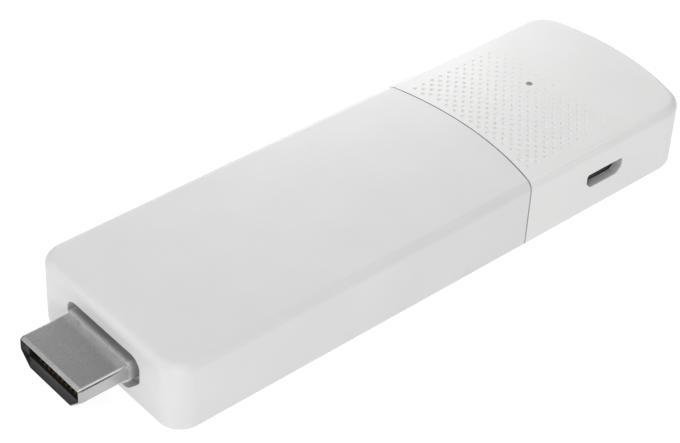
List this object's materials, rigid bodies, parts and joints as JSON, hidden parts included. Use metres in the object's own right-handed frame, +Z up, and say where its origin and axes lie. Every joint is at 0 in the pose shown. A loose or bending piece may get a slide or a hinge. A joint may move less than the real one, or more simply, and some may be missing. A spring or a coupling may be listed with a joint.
{
  "type": "streaming stick",
  "caption": "White streaming stick that plugs into a screen's video socket: a sleeve and rear cap with a charging port, a status light and a reset button round a board.",
  "frame": {"origin": "under the middle of the whole stick, plug included, on the plane it lies on", "axes": "+X from the plug to the rear cap, +Y away from the charging port, +Z up through the top face"},
  "size_m": [0.1108, 0.032, 0.0117],
  "materials": {
    "sleeve_plastic": "fine satin moulded finish",
    "cap_plastic": "satin moulded finish, a little brighter",
    "dark_plastic": "moulded black",
    "collar_steel": "nickel-plated, drawn",
    "plug_steel": "nickel-plated, softly brushed",
    "shield_steel": "tin-plated",
    "gold": "gold-plated",
    "board": "solder resist over glass fibre",
    "chip_black": "moulded epoxy",
    "aluminium": "natural, fine grain",
    "thermal_grey": "soft filled silicone",
    "tape_white": "thin adhesive",
    "film": "thin polyester",
    "ceramic_tan": "fired ceramic with tinned ends",
    "resistor_black": "fired ceramic with tinned ends",
    "inductor_grey": "pressed powder",
    "led": "clear potting",
    "light_pipe": "smoked clear rod",
    "button_plastic": "satin moulded finish"
  },
  "bodies": {
    "housing": {"main_sleeve": "sleeve_plastic", "rear_cap": "cap_plastic", "plug_collar": "collar_steel", "hdmi_shell": "plug_steel", "hdmi_insulator": "dark_plastic", "hdmi_contacts": "gold", "main_board": "board", "processor": "chip_black", "memory_chips": "chip_black", "flash_chip": "chip_black", "shield_frame": "shield_steel", "shield_lid": "shield_steel", "chip_pad": "thermal_grey", "spreader_tape": "tape_white", "heat_spreader": "aluminium", "lower_shield": "shield_steel", "insulating_film": "film", "power_inductors": "inductor_grey", "power_controller": "chip_black", "chip_capacitors": "ceramic_tan", "chip_resistors": "resistor_black", "crystal": "shield_steel", "surge_protectors": "chip_black", "radio_chip": "chip_black", "radio_shield": "shield_steel", "antenna_left": "shield_steel", "antenna_right": "shield_steel", "usb_shell": "plug_steel", "usb_insulator": "dark_plastic", "usb_contacts": "gold", "status_led": "led", "light_pipe": "light_pipe", "switch_housing": "dark_plastic", "switch_cover": "shield_steel"},
    "button": {"reset_button": "button_plastic", "switch_plunger": "dark_plastic"}
  },
  "joints": [
    {"name": "reset_button_press", "type": "slide", "parent": "housing", "child": "button", "axis": [0, -1, 0], "range_m": [0, 0.0003], "stiffness_N_per_m": 2500, "springref_m": -0.0001}
  ]
}
